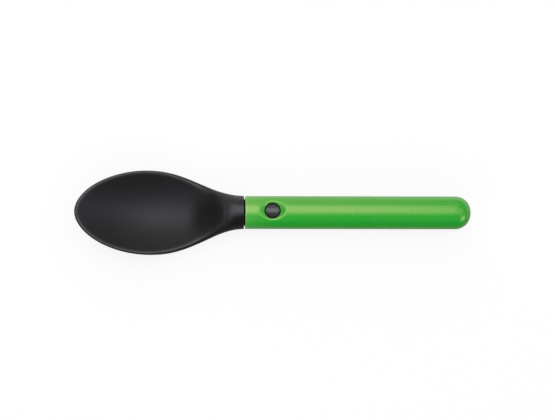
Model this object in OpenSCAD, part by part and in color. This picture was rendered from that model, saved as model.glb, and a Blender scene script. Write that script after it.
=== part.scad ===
// Sliding camp spoon: a moulded bowl on a slotted shank that telescopes into a round
// handle sleeve and locks, closed or pulled out, on a sprung button.
// Lengths run along X from the tip of the bowl. Heights are above the handle's axis.

/* [Bowl] */
// Length of the spoon head, from the tip to the collar's end face
head_len = 70.3; // [69:0.05:74]
// Full width of the bowl over its rim
bowl_w = 35.6; // [33:0.1:38]
// Distance from the tip to the widest place
widest_at = 30.15; // [29:0.05:32]
// Depth of the hollow below the rim at the widest place
bowl_depth = 8.1; // [7.5:0.1:8.4]
// Depth of the underside below the handle's axis
keel_depth = 9.45; // [9.2:0.05:10.2]
// Width of the rim at the sides
rim_w = 0.85; // [0.6:0.05:1]
// Width of the rim at the tip
rim_tip = 0.9; // [0.7:0.05:1.2]
// Width of the rim where the bowl meets the neck
rim_neck = 1.45; // [1.2:0.05:1.8]
// Distance from the tip to the back end of the hollow
hollow_end = 63.7; // [62:0.1:64.5]

/* [Collar] */
// Diameter of the collar beside the handle
collar_d = 13.9; // [13.5:0.1:14.2]
// Rounding of the collar's end edge
collar_round = 0.2; // [0.15:0.05:0.8]
// Width of the reveal between collar and handle
reveal = 0.5; // [0.5:0.05:1.4]
// Diameter of the shank's stop flange, seen in the reveal
flange_d = 11; // [10.2:0.1:11.4]

/* [Handle] */
// Length of the handle sleeve
handle_len = 94.2; // [90:0.2:100]
// Outside diameter of the handle sleeve
handle_d = 13.7; // [13.5:0.1:14]
// Diameter of the bore that the shank slides in
bore_d = 9.5; // [9.4:0.05:9.6]
// Rounding of the mouth's outer edge
mouth_round = 0.2; // [0.15:0.05:0.6]
// Rounding of the domed end
dome_round = 6.5; // [5.5:0.05:6.7]

/* [Lock] */
// How far the spoon pulls out of the handle
travel = 70; // [55:1:70]
// Distance from the handle's mouth to the button
button_at = 11.3; // [11:0.1:13]
// Diameter of the button's head
button_d = 6.1; // [5.8:0.1:6.2]
// Diameter of the button's hole
button_hole_d = 6.8; // [6.6:0.1:7]
// Diameter of the finger countersink along the top of the handle
countersink_d = 10.5; // [9.4:0.1:11]
// Depth of the countersink below the top of the handle
countersink_depth = 1.8; // [1.6:0.05:1.85]
// How far the button goes down
button_travel = 1.1; // [1.05:0.05:1.15]

/* [Hidden] */
$fn = 96;
eps = 0.01;

bowl_half = bowl_w / 2;
collar_r = collar_d / 2;
handle_r = handle_d / 2;
bore_r = bore_d / 2;
mouth = head_len + reveal;
button_x = mouth + button_at;
overall = mouth + handle_len;

// Outline of the bowl in plan: a full front, then a long waist down to the collar
tip_power = 1.87;
waist_power = 1.22;
waist_len = 39.75;
// Height of the rim's crest and of the widest line of the body, along the length
rim_line = [[0, 3.6], [15, 2], [30, 0.7], [42, -0.4], [51, -0.6], [57.5, 1.9],
            [62.5, 5.75], [66, collar_r - 0.15], [68.6, collar_r], [head_len, collar_r]];
widest_line = [[0, 2.5], [15, 0.8], [30, -0.55], [42, -2], [51, -2.5], [57.5, -1.6],
               [62.5, -0.7], [66, -0.15], [68.6, 0], [head_len, 0]];
// How sharply the hollow closes at its back end, and how much its walls steepen before that
closing_power = 8;
back_steepness = 0.18;
back_at = 53;
back_spread = 8;
// Roundness of the rim's crest, along the bowl and at the neck, of the tip's nose and of the underside
crest_round = 0.4;
crest_neck = 1.2;
nose_len = 0.9;
nose_drop = 0.5;
nose_start = 0.005;
belly_power = 1.6;
keel_end = 68;
// Steps of the loft: along the front, along the back, over the collar's edge and round a half
front_steps = 20;
back_steps = 25;
edge_steps = 3;
hollow_steps = 9;
rim_steps = 5;
belly_steps = 10;

// Fit of the shank in the bore and of the spigot in the head's socket
slide_gap = 0.1;
shank_r = bore_r - slide_gap;
shank_len = 87;
spigot_r = 4.2;
spigot_len = 6.3;
socket_gap = 0.05;
socket_len = spigot_len + 0.2;
tail_round = 1.2;
flat_margin = 3.5;

// Heights of the lock's layers, from the button's face down to the floor of the channel
button_top = 5.3;
head_bottom = 3.85;
flat_z = 2.55;
lip_bottom = 1.25;
channel_floor = -2.35;
channel_w = 5.6;
channel_round = 0.5;
slot_w = 3.4;
keyhole_d = 5.2;
stem_d = 3;
peg_d = 1.5;
peg_len = 0.65;
// The latch spring is a hairpin of strip with a raised cup that stands in a keyhole
strip_t = 0.4;
strip_w = 5;
cup_d = 4.8;
cup_top = 2.13;
strip_top = 1.15;
strip_foot = -2.25;
spring_reach = 10.5;
spring_overhang = 2.9;
foot_len = 7.5;
seat_gap = 0.02;

function unit(t) = max(0, min(1, t));
function ease(t) = (1 - cos(180 * unit(t))) / 2;
function softer_min(a, b, r) = (a + b - sqrt(pow(a - b, 2) + r * r)) / 2;

// A smooth line through [distance, height] stations
function span(line, s, i = 0) = i == len(line) - 2 || s < line[i + 1][0] ? i : span(line, s, i + 1);
function slope(line, i) =
    let(a = max(0, i - 1), b = min(len(line) - 1, i + 1))
    (line[b][1] - line[a][1]) / (line[b][0] - line[a][0]);
function along(line, s) =
    let(i = span(line, s),
        h = line[i + 1][0] - line[i][0],
        t = (s - line[i][0]) / h,
        m = slope(line, i) * h,
        n = slope(line, i + 1) * h)
    line[i][1] * (2 * pow(t, 3) - 3 * t * t + 1) + m * (pow(t, 3) - 2 * t * t + t)
    + line[i + 1][1] * (3 * t * t - 2 * pow(t, 3)) + n * (pow(t, 3) - t * t);

// Half width of the body in plan
function half_width(s) = s < widest_at
    ? bowl_half * pow(1 - pow(1 - s / widest_at, tip_power), 1 / tip_power)
    : collar_r + (bowl_half - collar_r) * (1 - ease(pow((s - widest_at) / waist_len, waist_power)));
function rim_at(s) = rim_w + (rim_neck - rim_w) * ease((s - 28) / 26);
// Half width of the hollow, squared, and below zero where there is no hollow
function hollow_square(s) = s < widest_at
    ? let(x = (widest_at - s) / (widest_at - rim_tip), base = 1 - pow(x, tip_power))
      pow(bowl_half - rim_w, 2) * (base > 0 ? pow(base, 2 / tip_power) : base)
    : pow(half_width(s) - rim_at(s), 2)
      * (1 - pow((s - widest_at) / (hollow_end - widest_at), closing_power));
// Curve of the hollow across the bowl
function hollow_curve(s) = bowl_depth / pow(bowl_half - rim_w, 2)
    * (1 + back_steepness * exp(-pow((s - back_at) / back_spread, 2)));

function nose(s) = sqrt(1 - pow(1 - min(1, s / nose_len), 2));
function rim_rise(s) = (along(rim_line, s) - along(widest_line, s)) * nose(s);
function crown(s) =
    rim_rise(s) / sqrt(1 - max(0, hollow_square(s)) / pow(half_width(s), 2));
function keel(s) = s < widest_at
    ? widest_line[0][1] - nose_drop * nose(s)
      - (keel_depth + widest_line[0][1] - nose_drop) * (1 - pow(1 - s / widest_at, 2))
    : -keel_depth + (keel_depth - collar_r) * ease((s - widest_at) / (keel_end - widest_at));
function crest_at(s) = crest_round + (crest_neck - crest_round) * ease((s - 51) / 12);
function hollow_floor(s) = along(rim_line, s) - hollow_curve(s) * hollow_square(s);
// Height of the upper face at y: the body's crown, cut by the hollow
function upper(s, y) = softer_min(
    along(widest_line, s) + crown(s) * sqrt(max(0, 1 - pow(y / half_width(s), 2))),
    hollow_floor(s) + hollow_curve(s) * y * y, crest_at(s));

// One half of a section, from the middle of the upper face out to the side and down to the keel
function half_section(s) =
    let(w = half_width(s),
        crest = max(sqrt(max(0, hollow_square(s))), w / 2),
        power = belly_power + (2 - belly_power) * ease((s - 45) / 20),
        side = along(widest_line, s))
    concat(
        [for (i = [0:hollow_steps]) let(y = crest * i / hollow_steps) [y, upper(s, y)]],
        [for (i = [1:rim_steps - 1])
            let(y = crest + (w - crest) * sin(90 * i / rim_steps)) [y, upper(s, y)]],
        [for (i = [0:belly_steps]) let(a = 90 * i / belly_steps)
            [w * pow(cos(a), 2 / power), side - (side - keel(s)) * pow(sin(a), 2 / power)]]);

// The collar's end edge is rounded by drawing the last sections in
function edge_scale(s) =
    let(t = unit((s - head_len + collar_round) / collar_round))
    1 - collar_round / collar_r * (1 - sqrt(1 - t * t));
function section(s) =
    let(half = half_section(s), last = len(half) - 1, k = edge_scale(s))
    concat([for (p = half) [s, p[0] * k, p[1] * k]],
           [for (i = [last - 1:-1:1]) [s, -half[i][0] * k, half[i][1] * k]]);

stations = concat(
    [nose_start],
    [for (i = [1:front_steps]) widest_at * (1 - cos(90 * i / front_steps))],
    [for (i = [1:back_steps]) widest_at + (head_len - collar_round - widest_at) * i / back_steps],
    [for (i = [1:edge_steps]) head_len - collar_round + collar_round * sin(90 * i / edge_steps)]);

// Skin over a row of like sections, closed at both ends
module loft(rings) {
    n = len(rings[0]);
    last = len(rings) - 1;
    polyhedron(
        points = [for (r = rings) each r],
        faces = concat(
            [[for (j = [0:n - 1]) j]],
            [for (i = [0:last - 1], j = [0:n - 1]) [i * n + j, (i + 1) * n + j, i * n + (j + 1) % n]],
            [for (i = [0:last - 1], j = [0:n - 1])
                [(i + 1) * n + j, (i + 1) * n + (j + 1) % n, i * n + (j + 1) % n]],
            [[for (j = [n - 1:-1:0]) last * n + j]]));
}

// A round bar along the length, from one distance to another
module bar(from, to, r) {
    translate([from, 0, 0]) rotate([0, 90, 0]) cylinder(h = to - from, r = r);
}

// An upright round bar at a distance along the length
module post(at, from, to, r) {
    translate([at, 0, from]) cylinder(h = to - from, r = r);
}

// From the handle's axis, with lengths from the tip, to the middle of the rest plane
module place() {
    translate([-overall / 2, 0, keel_depth]) children();
}

// Moulded bowl, neck and collar, with a blind socket for the shank
module spoon_head() {
    color([0.13, 0.13, 0.14]) place() difference() {
        loft([for (s = stations) section(s)]);
        bar(head_len - socket_len, head_len + 1, spigot_r + socket_gap);
    }
}

// Profile of the channel inside the shank
module channel_profile() {
    r = channel_round;
    h = lip_bottom - channel_floor;
    translate([-channel_w / 2, channel_floor + r]) square([channel_w, h - 2 * r]);
    translate([r - channel_w / 2, channel_floor]) square([channel_w - 2 * r, h]);
    for (y = [r - channel_w / 2, channel_w / 2 - r], z = [channel_floor + r, lip_bottom - r])
        translate([y, z]) circle(r);
}

// Sliding shank: spigot, stop flange and a round bar with a flat, a slot and two keyholes
module shank() {
    tail = mouth + shank_len;
    front = head_len - spigot_len;
    rear_keyhole = button_x + travel;
    color([0.11, 0.11, 0.12]) place() difference() {
        union() {
            bar(front, head_len + eps, spigot_r);
            bar(head_len, mouth, flange_d / 2);
            translate([mouth - eps, 0, 0]) rotate([0, 90, 0]) rotate_extrude() {
                square([shank_r - tail_round, shank_len + eps]);
                square([shank_r, shank_len - tail_round + eps]);
                translate([shank_r - tail_round, shank_len - tail_round + eps]) circle(tail_round);
            }
        }
        translate([button_x - flat_margin, -shank_r - 1, flat_z])
            cube([travel + 2 * flat_margin, 2 * shank_r + 2, shank_r]);
        translate([front - 1, 0, 0]) rotate([90, 0, 90])
            linear_extrude(rear_keyhole + keyhole_d / 2 + 0.3 - front + 1) channel_profile();
        translate([button_x, -slot_w / 2, 0]) cube([travel, slot_w, shank_r]);
        for (x = [button_x, rear_keyhole]) post(x, 0, shank_r, keyhole_d / 2);
    }
}

// Half outline of a round-nosed body: a straight side, then a quarter circle and any flat it leaves
module nosed_profile(len, r, nose) {
    square([r, len - nose]);
    if (r > nose) translate([0, len - nose]) square([r - nose + eps, nose]);
    intersection() {
        translate([r - nose, len - nose]) circle(nose);
        translate([r - nose, len - nose]) square(nose + 1);
    }
}

// Handle sleeve: a round tube with a domed end, a blind bore and the countersunk button hole
module handle_sleeve() {
    wall = handle_r - bore_r;
    countersink_z = handle_r - countersink_depth;
    color([0.29, 0.67, 0.23]) place() difference() {
        translate([mouth, 0, 0]) rotate([0, 90, 0]) rotate_extrude() difference() {
            nosed_profile(handle_len, handle_r, dome_round);
            translate([0, -1]) nosed_profile(handle_len - wall + 1, bore_r, bore_r);
            difference() {
                translate([handle_r - mouth_round, -1]) square([mouth_round + 1, mouth_round + 1]);
                translate([handle_r - mouth_round, mouth_round]) circle(mouth_round);
            }
        }
        post(button_x, 0, handle_r + 1, button_hole_d / 2);
        translate([button_x, 0, countersink_z])
            cylinder(h = countersink_depth, r1 = button_hole_d / 2, r2 = countersink_d / 2);
    }
}

// Push button: a round head whose face follows the handle, a stem through the slot and a peg
module lock_button() {
    color([0.15, 0.15, 0.16]) place() {
        intersection() {
            post(button_x, head_bottom, handle_r, button_d / 2);
            bar(button_x - button_d, button_x + button_d, button_top);
        }
        post(button_x, cup_top + seat_gap, head_bottom + eps, stem_d / 2);
        post(button_x, cup_top - peg_len, cup_top + seat_gap + eps, peg_d / 2);
    }
}

// Latch spring: a hairpin of strip, lying open towards the tail, with a cup drawn up in it
module latch_spring() {
    bend_r = (strip_top - strip_foot) / 2;
    bend_x = button_x - spring_reach + bend_r;
    bend_z = strip_top - bend_r;
    peg_gap = 0.1;
    color([0.75, 0.76, 0.78]) place() difference() {
        union() {
            translate([0, strip_w / 2, 0]) rotate([90, 0, 0]) linear_extrude(strip_w) {
                translate([bend_x, strip_top - strip_t])
                    square([button_x + spring_overhang - bend_x, strip_t]);
                translate([bend_x, strip_foot]) square([foot_len, strip_t]);
                difference() {
                    translate([bend_x, bend_z]) circle(bend_r);
                    translate([bend_x, bend_z]) circle(bend_r - strip_t);
                    translate([bend_x, strip_foot - 1]) square(2 * bend_r + 2);
                }
            }
            post(button_x, strip_top - strip_t, cup_top, cup_d / 2);
        }
        post(button_x, strip_top - strip_t - 1, cup_top - strip_t, cup_d / 2 - strip_t);
        post(button_x, cup_top - 2 * strip_t, cup_top + 1, peg_d / 2 + peg_gap);
    }
}

spoon_head();
shank();
handle_sleeve();
lock_button();
latch_spring();
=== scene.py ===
# %% [markdown]
# # A sliding camp spoon
# The spoon is a black moulded bowl on a slotted shank. The shank slides into a round green
# handle, and a sprung button holds it closed or pulled out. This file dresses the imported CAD
# model: it loads it as a fixed frame, makes a finer skin for each piece, and lights it softly.

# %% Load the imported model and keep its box
import math

import bmesh
import bpy
import numpy as np
from mathutils import Matrix, Vector


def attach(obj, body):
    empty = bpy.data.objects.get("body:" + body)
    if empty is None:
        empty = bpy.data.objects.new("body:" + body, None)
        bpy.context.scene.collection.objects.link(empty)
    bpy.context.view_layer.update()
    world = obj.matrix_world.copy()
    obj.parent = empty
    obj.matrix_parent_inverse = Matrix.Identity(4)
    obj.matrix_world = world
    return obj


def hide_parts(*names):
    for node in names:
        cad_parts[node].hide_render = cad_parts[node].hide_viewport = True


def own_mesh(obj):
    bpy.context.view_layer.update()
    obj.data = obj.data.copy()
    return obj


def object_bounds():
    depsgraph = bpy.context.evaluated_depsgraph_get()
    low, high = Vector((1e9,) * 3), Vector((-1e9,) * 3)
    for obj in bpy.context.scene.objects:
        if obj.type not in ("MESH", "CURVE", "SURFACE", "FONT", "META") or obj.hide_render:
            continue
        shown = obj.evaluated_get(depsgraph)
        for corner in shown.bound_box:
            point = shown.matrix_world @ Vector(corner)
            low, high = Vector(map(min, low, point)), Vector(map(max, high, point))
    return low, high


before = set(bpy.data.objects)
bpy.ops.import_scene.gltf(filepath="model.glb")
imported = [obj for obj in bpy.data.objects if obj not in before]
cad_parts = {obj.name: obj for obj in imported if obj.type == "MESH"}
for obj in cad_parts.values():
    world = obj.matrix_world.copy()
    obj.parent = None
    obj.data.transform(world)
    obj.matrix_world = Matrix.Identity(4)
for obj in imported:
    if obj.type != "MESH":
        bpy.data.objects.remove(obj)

cad_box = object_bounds()
print("CAD box, metres:", [[round(float(c), 5) for c in corner] for corner in cad_box])

# %% [markdown]
# ## Working frame
# The maker's drawing measures lengths from the tip of the bowl and heights from the handle's
# axis, in millimetres. The model's own frame is in metres, with its origin under the middle of
# the closed spoon. One function goes from the first to the second, so every shape below can be
# written with the numbers of the drawing, and no object has to be moved into place afterwards.

# %% Main sizes, in millimetres
HEAD_LEN, REVEAL, HANDLE_LEN = 70.3, 0.5, 94.2
MOUTH = HEAD_LEN + REVEAL
OVERALL = MOUTH + HANDLE_LEN
AXIS_HEIGHT = 9.45
HANDLE_R, BORE_R, COLLAR_R, COLLAR_TOP = 6.85, 4.75, 6.95, 6.85
BUTTON_FROM_MOUTH, TRAVEL = 11.3, 70.0
BUTTON_X = MOUTH + BUTTON_FROM_MOUTH
MM = 0.001


def to_row(points):
    """Shift by half the length in X and up by the axis height in Z, then turn mm into metres."""
    shift = np.array([-OVERALL / 2, 0.0, AXIS_HEIGHT])
    return (np.asarray(points, float) + shift) * MM


print("closed length", OVERALL, "mm, pulled out", OVERALL + TRAVEL, "mm")

# %% [markdown]
# ## Camera
# The photograph looks down on the spoon with a long lens, from ten degrees in front of vertical
# and a little over two degrees to the left, and is turned by a tenth of a degree. A view without
# perspective would come close, but a real lens sees the two ends of the spoon from slightly
# different sides. So the camera stands 0.9 m away, and its lens is worked out: one pixel of a
# 555 x 420 picture is 0.4165 mm at the height of the handle's axis.

# %% Camera
IMAGE_W, PIXEL_MM, SENSOR_W = 555, 0.4165, 36.0
VIEW_TILT, VIEW_SIDE, VIEW_ROLL = math.radians(10.0), math.radians(-2.4), 0.0018
CAMERA_DISTANCE, NEAR_CLIP = 0.9, 0.01
# Middle of the picture, measured from the middle of the spoon, in millimetres
AIM_RIGHT, AIM_BACK = 1.84, 1.08
AIM = to_row([OVERALL / 2 + AIM_RIGHT, AIM_BACK, 0.0])

camera_data = bpy.data.cameras.new("camera")
camera = bpy.data.objects.new("camera", camera_data)
bpy.context.scene.collection.objects.link(camera)
turn = Matrix.Rotation(VIEW_TILT, 3, "X") @ Matrix.Rotation(VIEW_SIDE, 3, "Y")
turn = turn @ Matrix.Rotation(VIEW_ROLL, 3, "Z")
camera.location = AIM + CAMERA_DISTANCE * np.array(turn @ Vector((0.0, 0.0, 1.0)))
camera.rotation_euler = turn.to_euler()
camera_data.sensor_width = SENSOR_W
camera_data.lens = SENSOR_W * CAMERA_DISTANCE / (IMAGE_W * PIXEL_MM * MM)
camera_data.clip_start = NEAR_CLIP
bpy.context.scene.camera = camera
print("lens", round(camera_data.lens, 1), "mm")

# %% [markdown]
# ## Meshes from arrays
# Every piece is one or more grids of points. A grid has rows along the piece and columns round
# it, and neighbouring points make four-sided faces. The grids of a piece share their border
# points, so merging the doubles closes the skin. Modelling by hand or cutting with booleans
# would also do, but this way every size stays a named number and the faces stay even.

# %% Grids of points and their faces
def grid_faces(rows, cols, wrap, start=0):
    """Corners of the quads of a grid; with wrap, the last column joins the first."""
    r = np.arange(rows - 1)[:, None]
    c = np.arange(cols if wrap else cols - 1)[None, :]
    after = (c + 1) % cols
    this_row, next_row = r * cols, (r + 1) * cols
    quads = np.stack([this_row + c, this_row + after, next_row + after, next_row + c], -1)
    return quads.reshape(-1, 4) + start


def join_grids(grids):
    """Put grids, given as (points[rows, cols, 3], wrap), into one list of points and quads."""
    counts = [grid.shape[0] * grid.shape[1] for grid, _ in grids]
    starts = np.concatenate([[0], np.cumsum(counts)[:-1]])
    points = [grid.reshape(-1, 3) for grid, _ in grids]
    faces = [grid_faces(*grid.shape[:2], wrap, start) for (grid, wrap), start in zip(grids, starts)]
    return np.concatenate(points), np.concatenate(faces)


# %% [markdown]
# One function makes all the pieces, so that they are finished alike: doubles merged, faces
# turned outwards, edges sharp only past an angle. It also parents a piece to the empty of the
# body it rides on, hides the CAD node that it stands for and gives it its material. Each point
# carries a value of wear and painted sheen, which a material can read: 1 is rubbed smooth and
# pale, where the paleness is partly a painted highlight, 0 is as moulded, and -1 is polished
# without being paler.

# %% From grids to a piece
MERGE_WITHIN, SLIVER = 2e-6, 1e-8


def make_piece(name, grids, body, node, material, wear_and_sheen=None, sharp_deg=35.0, closed=True):
    """Mesh from grids: merge the shared borders, turn faces outwards, smooth up to an angle."""
    points, faces = join_grids(grids)
    mesh = bpy.data.meshes.new(name)
    mesh.from_pydata(to_row(points).tolist(), [], faces.tolist())
    marks = mesh.attributes.new("wear_and_sheen", "FLOAT", "POINT")
    values = np.zeros(len(points)) if wear_and_sheen is None else wear_and_sheen(*points.T)
    marks.data.foreach_set("value", values.astype(np.float32))
    shape = bmesh.new()
    shape.from_mesh(mesh)
    bmesh.ops.remove_doubles(shape, verts=shape.verts, dist=MERGE_WITHIN)
    bmesh.ops.dissolve_degenerate(shape, edges=shape.edges, dist=SLIVER)
    bmesh.ops.recalc_face_normals(shape, faces=shape.faces)
    open_edges = sum(len(edge.link_faces) != 2 for edge in shape.edges)
    volume = shape.calc_volume(signed=True) / MM**3
    shape.to_mesh(mesh)
    shape.free()
    mesh.shade_smooth()
    mesh.set_sharp_from_angle(angle=math.radians(sharp_deg))
    mesh.materials.append(material)
    piece = bpy.data.objects.new(name, mesh)
    bpy.context.scene.collection.objects.link(piece)
    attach(piece, body)
    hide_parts(node)
    state = f"{open_edges} open edges, {volume:.0f} mm3" if closed else "an open sheet"
    print(f"{name}: {len(mesh.vertices)} points, {len(mesh.polygons)} faces, {state}")
    return piece


# %% [markdown]
# A few formulas come back in several pieces: a soft step, a soft crossing of two heights, and
# the borders of a square and a circle with as many points each, which let a round hole meet a
# square grid point to point.

# %% Shared formulas
def ease(t):
    """Half a cosine wave: 0 before 0, 1 after 1, level at both ends."""
    return (1 - np.cos(np.pi * np.clip(t, 0, 1))) / 2


def soft_min(a, b, r):
    """The lower of two heights, with the crossing rounded by about r."""
    return (a + b - np.sqrt((a - b) ** 2 + r * r)) / 2


def square_border(steps):
    """x and y round the square from -1 to 1, from the middle of its +X side towards +Y."""
    t = np.linspace(-1, 1, 2 * steps + 1)
    back, whole, half = t[::-1][:-1], np.ones(2 * steps), np.ones(steps)
    x = np.concatenate([half, back, -whole, t[:-1], half])
    y = np.concatenate([t[steps:-1], whole, back, -whole, t[:steps]])
    return x, y


def round_border(count):
    """Points of the unit circle at equal angles, from +X towards +Y."""
    angle = np.linspace(0, 2 * np.pi, count, endpoint=False)
    return np.column_stack([np.cos(angle), np.sin(angle)])


# %% [markdown]
# ## Finishes
# All the plastic here is injection moulded, so its surface is a print of the mould: a very fine
# even grain, a little less even where the plastic flowed. Where fingers and lips rub, the grain
# is worn smooth. Painted pictures could show that, but noise on Object coordinates needs no
# unwrapping, has no pixels, and stays with a piece when it moves.

# %% Node helpers
def add_node(tree, kind, x, y, **values):
    """A node at a place in the tree, with input values or properties set by name."""
    made = tree.nodes.new(kind)
    made.location = (x, y)
    for key, value in values.items():
        if key in made.inputs:
            made.inputs[key].default_value = value
        else:
            setattr(made, key, value)
    return made


def blend_value(tree, x, y, low, high, factor):
    """A Mix node for numbers: low at factor 0, high at factor 1. Each is a socket or a number."""
    mix = add_node(tree, "ShaderNodeMix", x, y, data_type="FLOAT")
    for socket, value in zip((mix.inputs[0], mix.inputs[2], mix.inputs[3]), (factor, low, high)):
        if isinstance(value, bpy.types.NodeSocket):
            tree.links.new(value, socket)
        else:
            socket.default_value = value
    return mix.outputs[0]


def new_material(name):
    """An empty material, its tree and its output node."""
    material = bpy.data.materials.new(name)
    material.use_nodes = True
    tree = material.node_tree
    tree.nodes.clear()
    return material, tree, add_node(tree, "ShaderNodeOutputMaterial", 600, 0)


# %% [markdown]
# Grain, flow and wear are the same thing on every plastic here, so they are one node group,
# which each material places with its own values. A fine noise is the height of the grain, and a
# broad one, the flow, moves the roughness between two close values. Wear of either sign fades
# the grain to an even height and leads the roughness to its rubbed value.

# %% The moulded skin, shared by the plastics
SKIN_INPUTS = {"Grain per metre": 3000.0, "Flow per metre": 70.0, "Smooth": 0.35, "Rough": 0.45,
               "Worn": 0.25, "Wear": 0.0}
EVEN_HEIGHT = 0.5


def moulded_skin_group():
    """Grain height, roughness and flow from noise on Object coordinates, the first two calmed by
    the size of the wear value, whatever its sign."""
    group = bpy.data.node_groups.new("moulded_skin", "ShaderNodeTree")
    for label, value in SKIN_INPUTS.items():
        socket = group.interface.new_socket(label, in_out="INPUT", socket_type="NodeSocketFloat")
        socket.default_value = value
    for label in ("Height", "Roughness", "Flow"):
        group.interface.new_socket(label, in_out="OUTPUT", socket_type="NodeSocketFloat")
    given = add_node(group, "NodeGroupInput", -900, 0).outputs
    result = add_node(group, "NodeGroupOutput", 300, 0)
    place = add_node(group, "ShaderNodeTexCoord", -900, 260)
    grain = add_node(group, "ShaderNodeTexNoise", -600, 260, Detail=3.0, Roughness=0.6)
    flow = add_node(group, "ShaderNodeTexNoise", -600, 0, Detail=4.0, Roughness=0.55)
    polish = add_node(group, "ShaderNodeMath", -600, -260, operation="ABSOLUTE")
    link = group.links.new
    link(place.outputs["Object"], grain.inputs["Vector"])
    link(place.outputs["Object"], flow.inputs["Vector"])
    link(given["Grain per metre"], grain.inputs["Scale"])
    link(given["Flow per metre"], flow.inputs["Scale"])
    link(given["Wear"], polish.inputs[0])
    plain = blend_value(group, -300, 0, given["Smooth"], given["Rough"], flow.outputs[0])
    rubbed = blend_value(group, 0, 0, plain, given["Worn"], polish.outputs[0])
    calm = blend_value(group, 0, 260, grain.outputs[0], EVEN_HEIGHT, polish.outputs[0])
    link(calm, result.inputs["Height"])
    link(rubbed, result.inputs["Roughness"])
    link(flow.outputs[0], result.inputs["Flow"])
    return group


MOULDED_SKIN = moulded_skin_group()
print("moulded skin:", len(MOULDED_SKIN.nodes), "nodes")

# %% [markdown]
# A plastic is then a Principled shader with that skin. The flow picks between two close colours,
# and positive wear leads to a third, paler one, which on the rim and the handle is also a painted
# highlight; negative wear leaves the colour alone. What is the same all over a piece, such as its
# gloss, is set on the shader itself.

# %% From the skin to a plastic
def moulded_plastic(name, dark, light, worn_and_sheen, smooth, rough, rubbed, grain, depth, specular, tint,
                    ior=1.5):
    """Principled plastic: flow picks between two close colours, wear and painted sheen a paler
    third.
    """
    material, tree, out = new_material(name)
    shader = add_node(tree, "ShaderNodeBsdfPrincipled", 300, 0)
    shader.inputs["IOR"].default_value = ior
    shader.inputs["Specular IOR Level"].default_value = specular
    shader.inputs["Specular Tint"].default_value = (*tint, 1)
    wear_and_sheen = add_node(tree, "ShaderNodeAttribute", -800, 0, attribute_name="wear_and_sheen")
    skin = add_node(tree, "ShaderNodeGroup", -500, 0)
    skin.node_tree = MOULDED_SKIN
    own = {"Grain per metre": grain, "Smooth": smooth, "Rough": rough, "Worn": rubbed}
    for label, value in own.items():
        skin.inputs[label].default_value = value
    base = add_node(tree, "ShaderNodeMix", -250, 260, data_type="RGBA")
    base.inputs["A"].default_value = (*dark, 1)
    base.inputs["B"].default_value = (*light, 1)
    # The third, paler colour stands for wear, and on the rim and the handle for a painted highlight
    # too.
    colour = add_node(tree, "ShaderNodeMix", 0, 260, data_type="RGBA")
    colour.inputs["B"].default_value = (*worn_and_sheen, 1)
    bump = add_node(tree, "ShaderNodeBump", 0, -200, Strength=1.0, Distance=depth)
    link = tree.links.new
    link(wear_and_sheen.outputs["Fac"], skin.inputs["Wear"])
    link(skin.outputs["Flow"], base.inputs["Factor"])
    link(base.outputs["Result"], colour.inputs["A"])
    link(wear_and_sheen.outputs["Fac"], colour.inputs["Factor"])
    link(colour.outputs["Result"], shader.inputs["Base Color"])
    link(skin.outputs["Roughness"], shader.inputs["Roughness"])
    link(skin.outputs["Height"], bump.inputs["Height"])
    link(bump.outputs["Normal"], shader.inputs["Normal"])
    link(shader.outputs["BSDF"], out.inputs["Surface"])
    return material


# %% [markdown]
# The bowl is matt black with a faintly cold sheen. The shank, which mostly hides in the handle,
# is the same nylon left dull. The handle is a strong green with a satin gloss, whose highlight is
# a little warm. The button is of the bowl's family, greyer and smoother. Colours are linear
# values, as Blender wants them, and the depth of the grain is in metres.

# %% Plastic finishes
# The black's worn colour is paler: on the rim's crest it is a painted highlight as well as wear.
BLACK = moulded_plastic(
    "matt_black_nylon", dark=(0.0080, 0.0073, 0.0078), light=(0.0100, 0.0092, 0.0098),
    worn_and_sheen=(0.027, 0.027, 0.0295), smooth=0.45, rough=0.55, rubbed=0.24,
    grain=2600.0, depth=8e-6, specular=0.47, tint=(0.9, 0.9, 1.0))
DULL = moulded_plastic(
    "dull_black_nylon", dark=(0.006, 0.006, 0.0066), light=(0.009, 0.009, 0.0098),
    worn_and_sheen=(0.02, 0.02, 0.022), smooth=0.6, rough=0.7, rubbed=0.45,
    grain=2600.0, depth=8e-6, specular=0.15, tint=(1.0, 1.0, 1.0))
# The green's worn colour is much paler: it paints highlights on the handle, as well as wear.
GREEN = moulded_plastic(
    "satin_green", dark=(0.006, 0.355, 0.025), light=(0.008, 0.385, 0.029),
    worn_and_sheen=(0.17, 0.52, 0.11), smooth=0.25, rough=0.3, rubbed=0.24,
    grain=1800.0, depth=3e-6, specular=0.97, tint=(1.0, 0.62, 0.43), ior=1.66)
GREY = moulded_plastic(
    "satin_grey", dark=(0.016, 0.016, 0.0172), light=(0.021, 0.021, 0.0222),
    worn_and_sheen=(0.026, 0.026, 0.0276), smooth=0.28, rough=0.36, rubbed=0.26,
    grain=2600.0, depth=5e-6, specular=0.72, tint=(1.0, 1.0, 1.0))
print("plastics:", BLACK.name, DULL.name, GREEN.name, GREY.name)

# %% [markdown]
# ## Spoon head
# The bowl, neck and collar are one moulding. It could be sculpted, but then its sizes would be
# hard to set. Here it is a loft: at each distance from the tip there is one closed section, and
# the sections run from a thin rounded nose, through a wide hollow bowl, to a plain circle. Two
# lines set the heights along the way, one for the rim and one for the widest place of a section.

# %% Long lines of the spoon head, in millimetres
COLLAR_DIP = 0.22
RIM_LINE = np.array([
    [0, 3.6], [15, 2.0], [30, 0.7], [42, -0.4], [50.2, -0.6], [56.4, 2.2], [61.3, 5.55],
    [64.8, COLLAR_TOP - COLLAR_DIP], [67.6, COLLAR_TOP], [HEAD_LEN, COLLAR_TOP]])
WIDEST_LINE = np.array([
    [0, 2.5], [15, 0.8], [30, -0.55], [42, -2], [51, -2.5], [57.5, -1.6], [62.5, -0.7],
    [66, -0.15], [68.6, 0], [HEAD_LEN, 0]])


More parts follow.
